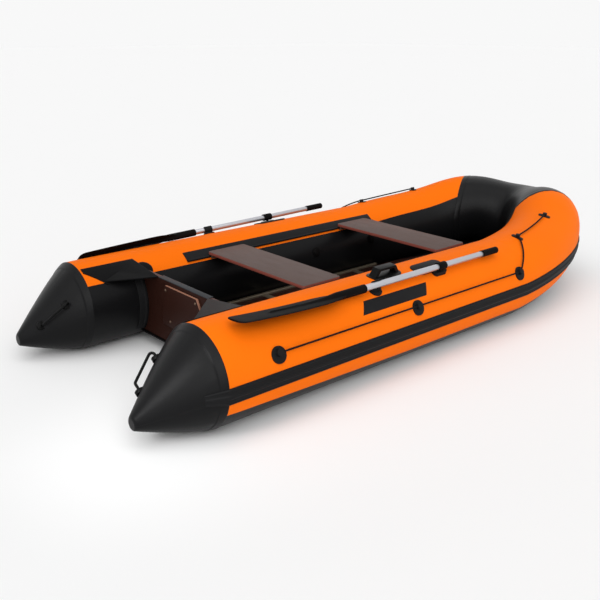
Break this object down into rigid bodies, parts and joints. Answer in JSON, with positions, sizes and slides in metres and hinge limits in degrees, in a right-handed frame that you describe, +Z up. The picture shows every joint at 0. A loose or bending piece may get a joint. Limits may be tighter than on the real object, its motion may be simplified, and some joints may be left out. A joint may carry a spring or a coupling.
{
  "type": "inflatable boat",
  "caption": "Inflatable tender with side tubes joined round the bow, plywood transom, floor boards, sliding bench seats, oars in rowlocks, rubbing strake and grab line.",
  "frame": {"origin": "middle of the footprint on the ground, half way along and half way across", "axes": "+X to the bow, +Y to port, +Z up"},
  "size_m": [3.2921, 1.3944, 0.5191],
  "materials": {
    "orange_skin": "satin coated fabric",
    "black_skin": "satin coated fabric",
    "black_rubber": "satin moulded",
    "black_plastic": "fine grain",
    "grey_plastic": "matte",
    "shaft_alloy": "anodised",
    "floor_alloy": "mill",
    "brown_ply": "film faced plywood",
    "grey_ply": "coated plywood",
    "rope": "braided"
  },
  "bodies": {
    "hull": {"bottom_skin": "black_skin", "carry_handle_starboard": "black_rubber", "cone_port": "black_skin", "cone_starboard": "black_skin", "floor_board_aft": "brown_ply", "floor_board_fore": "brown_ply", "floor_board_mid": "brown_ply", "floor_joiners": "floor_alloy", "floor_stringer_port": "floor_alloy", "floor_stringer_starboard": "floor_alloy", "grab_line_eyes_port": "black_rubber", "grab_line_eyes_starboard": "black_rubber", "grab_line_port": "rope", "grab_line_starboard": "rope", "keel_tube": "black_skin", "motor_pad_inner": "brown_ply", "motor_pad_outer": "brown_ply", "oar_clip_port": "black_plastic", "oar_clip_starboard": "black_plastic", "rowlock_port": "black_plastic", "rowlock_starboard": "black_plastic", "rubbing_strake": "black_rubber", "seat_track_port": "black_rubber", "seat_track_starboard": "black_rubber", "side_patch_port": "black_rubber", "side_patch_starboard": "black_rubber", "stern_handle_port": "black_rubber", "stern_handle_starboard": "black_rubber", "tow_eye": "black_rubber", "transom_board": "brown_ply", "transom_cap": "grey_plastic", "transom_holder_port": "black_rubber", "transom_holder_starboard": "black_rubber", "transom_wing_port": "black_rubber", "transom_wing_starboard": "black_rubber", "tube_bow": "black_skin", "tube_port": "orange_skin", "tube_starboard": "orange_skin", "valves_port": "black_rubber", "valves_starboard": "black_rubber"},
    "seat_aft": {"seat_aft": "grey_ply", "seat_hooks_aft": "floor_alloy"},
    "seat_fore": {"seat_fore": "grey_ply", "seat_hooks_fore": "floor_alloy"},
    "oar_port": {"oar_shaft_port": "shaft_alloy", "oar_grip_port": "black_plastic", "oar_blade_port": "black_plastic", "oar_ring_port": "black_plastic"},
    "oar_starboard": {"oar_shaft_starboard": "shaft_alloy", "oar_grip_starboard": "black_plastic", "oar_blade_starboard": "black_plastic", "oar_ring_starboard": "black_plastic"}
  },
  "joints": [
    {"name": "seat_aft_slide", "type": "slide", "parent": "hull", "child": "seat_aft", "axis": [1, 0, 0], "range_m": [-0.12, 0.32]},
    {"name": "seat_fore_slide", "type": "slide", "parent": "hull", "child": "seat_fore", "axis": [1, 0, 0], "range_m": [-0.325, 0.06]},
    {"name": "oar_port_swing", "type": "hinge", "parent": "hull", "child": "oar_port", "pos_m": [-0.12915, 0.59989, 0.40437], "axis": [0, -0.2588, -0.9659], "range_deg": [0, 110]},
    {"name": "oar_starboard_swing", "type": "hinge", "parent": "hull", "child": "oar_starboard", "pos_m": [-0.12915, -0.59989, 0.40437], "axis": [0, -0.2588, 0.9659], "range_deg": [0, 110]}
  ]
}
